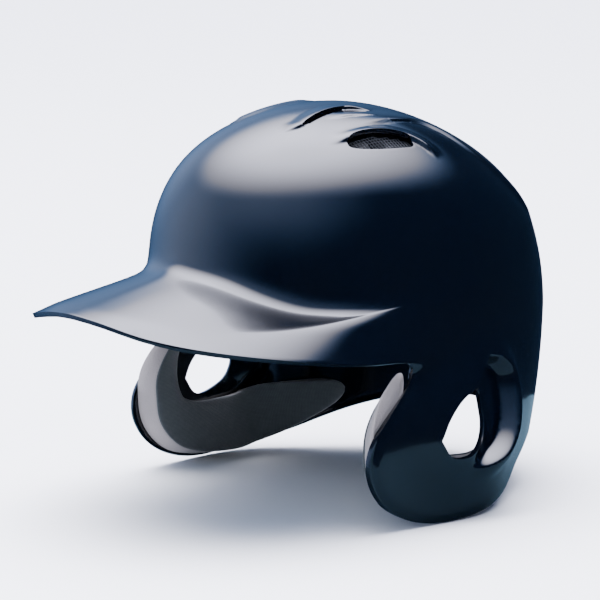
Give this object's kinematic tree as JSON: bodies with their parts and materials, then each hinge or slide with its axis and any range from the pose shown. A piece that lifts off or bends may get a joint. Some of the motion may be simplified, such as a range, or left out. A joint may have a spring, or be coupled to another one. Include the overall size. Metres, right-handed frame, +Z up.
{
  "type": "batting helmet",
  "caption": "Gloss navy batting helmet with peak, two ear flaps with ear holes, crown vents, foam liner and peel-off pads.",
  "frame": {"origin": "middle of the head opening, on the plane that the ear flaps stand on: midway between the sides, and midway along the dome without its brim", "axes": "+Z up through the crown, -Y towards the peak, +X towards the wearer's left; X = 0 is the symmetry plane"},
  "size_m": [0.239, 0.3085, 0.218],
  "materials": {
    "gloss_navy_abs": "high gloss dark navy",
    "liner_foam": "matt moulded foam",
    "vent_mesh_nylon": "fine black mesh",
    "grey_eva_foam": "pale grey closed-cell foam",
    "grey_pad_fabric": "dark grey-green knitted face",
    "black_pad_fabric": "black brushed knit",
    "hook_tape": "black hook tape"
  },
  "bodies": {
    "helmet": {"outer_shell": "gloss_navy_abs", "impact_liner": "liner_foam", "front_vent_mesh_left": "vent_mesh_nylon", "front_vent_mesh_right": "vent_mesh_nylon", "side_vent_mesh_left": "vent_mesh_nylon", "side_vent_mesh_right": "vent_mesh_nylon", "rear_vent_mesh_left": "vent_mesh_nylon", "rear_vent_mesh_right": "vent_mesh_nylon", "forehead_hook_1": "hook_tape", "forehead_hook_2": "hook_tape", "forehead_hook_3": "hook_tape", "crown_hook": "hook_tape", "nape_hook_1": "hook_tape", "nape_hook_2": "hook_tape", "temple_hook_left": "hook_tape", "temple_hook_right": "hook_tape", "ear_hook_1_left": "hook_tape", "ear_hook_1_right": "hook_tape", "ear_hook_2_left": "hook_tape", "ear_hook_2_right": "hook_tape", "ear_hook_3_left": "hook_tape", "ear_hook_3_right": "hook_tape"},
    "forehead_pad_body": {"forehead_pad": "black_pad_fabric"},
    "crown_pad_body": {"crown_pad": "black_pad_fabric"},
    "nape_pad_body": {"nape_pad": "black_pad_fabric"},
    "temple_pad_left_body": {"temple_pad_left": "black_pad_fabric"},
    "temple_pad_right_body": {"temple_pad_right": "black_pad_fabric"},
    "ear_pad_left_body": {"ear_pad_foam_left": "grey_eva_foam", "ear_pad_cover_left": "grey_pad_fabric"},
    "ear_pad_right_body": {"ear_pad_foam_right": "grey_eva_foam", "ear_pad_cover_right": "grey_pad_fabric"}
  },
  "joints": [
    {"name": "forehead_pad_peel", "type": "slide", "parent": "helmet", "child": "forehead_pad_body", "axis": [0, 1, 0], "range_m": [0, 0.02]},
    {"name": "crown_pad_peel", "type": "slide", "parent": "helmet", "child": "crown_pad_body", "axis": [0, 0, -1], "range_m": [0, 0.03]},
    {"name": "nape_pad_peel", "type": "slide", "parent": "helmet", "child": "nape_pad_body", "axis": [0, -1, 0], "range_m": [0, 0.02]},
    {"name": "temple_pad_left_peel", "type": "slide", "parent": "helmet", "child": "temple_pad_left_body", "axis": [-1, 0, 0], "range_m": [0, 0.015]},
    {"name": "temple_pad_right_peel", "type": "slide", "parent": "helmet", "child": "temple_pad_right_body", "axis": [1, 0, 0], "range_m": [0, 0.015]},
    {"name": "ear_pad_left_peel", "type": "slide", "parent": "helmet", "child": "ear_pad_left_body", "axis": [-1, 0, 0], "range_m": [0, 0.025]},
    {"name": "ear_pad_right_peel", "type": "slide", "parent": "helmet", "child": "ear_pad_right_body", "axis": [1, 0, 0], "range_m": [0, 0.025]}
  ]
}
